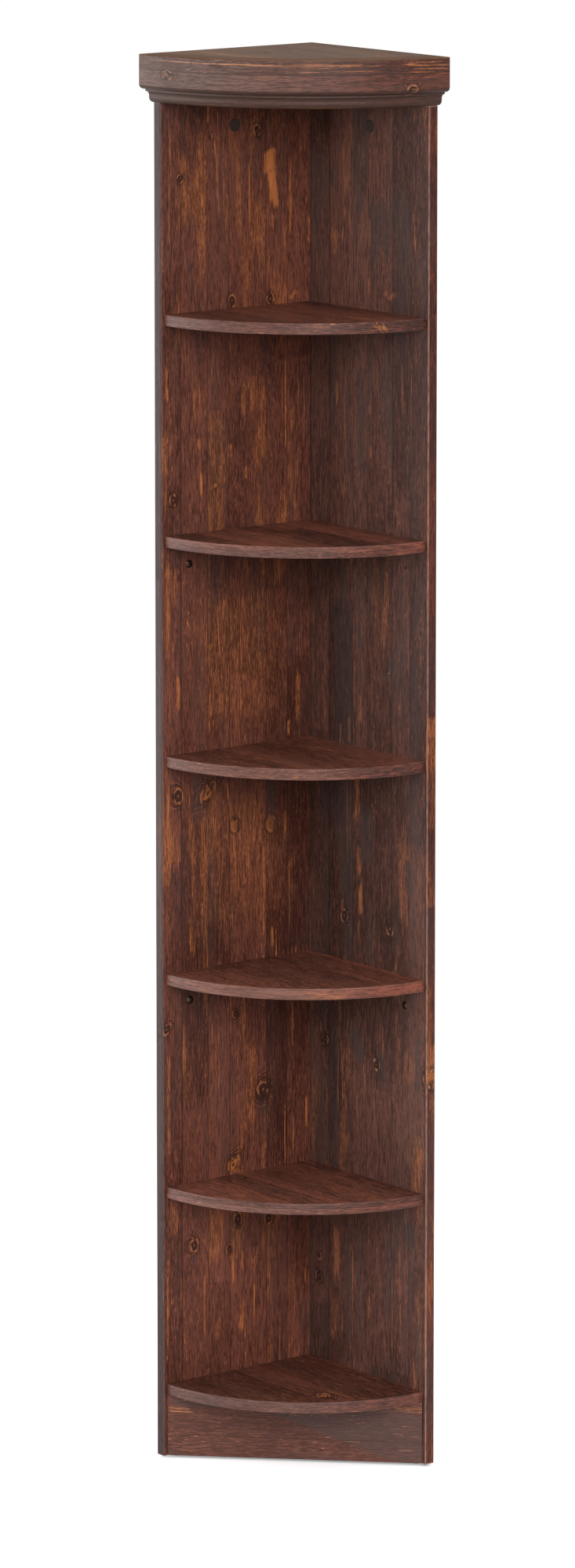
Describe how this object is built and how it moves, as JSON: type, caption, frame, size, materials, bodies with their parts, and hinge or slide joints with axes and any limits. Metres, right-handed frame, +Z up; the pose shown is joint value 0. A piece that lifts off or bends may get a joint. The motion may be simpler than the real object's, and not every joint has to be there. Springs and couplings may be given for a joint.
{
  "type": "shelf end unit",
  "caption": "Tall corner end unit in dark-stained pine: two panels in an L, quarter-round shelves, a straight plinth and a curved moulded crown.",
  "frame": {"origin": "centre of the bounding box on the floor", "axes": "+Z up; the outer corner of the L points to +X +Y, the back panel lies along X at +Y, the side panel along Y at +X, and the open quarter faces -X -Y"},
  "size_m": [0.335, 0.335, 2.2],
  "materials": {
    "panel_wood": "dark colonial stain, satin lacquer, vertical grain",
    "shelf_wood": "dark colonial stain, satin lacquer, grain parallel to the side panel",
    "plinth_wood": "dark colonial stain, satin lacquer, grain along the board",
    "crown_wood": "dark colonial stain, satin lacquer",
    "bare_wood": "unstained pine",
    "dowel_wood": "unstained beech",
    "zinc": "zinc-plated",
    "cap_plastic": "dark brown, semi-matt",
    "glide_plastic": "dark brown"
  },
  "bodies": {
    "root": {"back_panel": "panel_wood", "side_panel": "panel_wood", "shelf_1": "shelf_wood", "shelf_2": "shelf_wood", "shelf_3": "shelf_wood", "shelf_4": "shelf_wood", "shelf_5": "shelf_wood", "shelf_6": "shelf_wood", "plinth_board": "plinth_wood", "plinth_blocks": "bare_wood", "plinth_dowels": "dowel_wood", "glides": "glide_plastic", "crown_moulding": "crown_wood", "crown_base_board": "crown_wood", "crown_top_board": "crown_wood", "crown_back_rail": "crown_wood", "crown_side_rail": "crown_wood", "crown_dowels": "dowel_wood", "crown_cams": "zinc", "crown_bolts": "zinc", "cover_caps": "cap_plastic", "shelf_cams": "zinc", "shelf_bolts": "zinc", "shelf_dowels": "dowel_wood", "corner_dowels": "dowel_wood", "corner_screws": "zinc", "joining_sleeves": "zinc"}
  },
  "joints": []
}
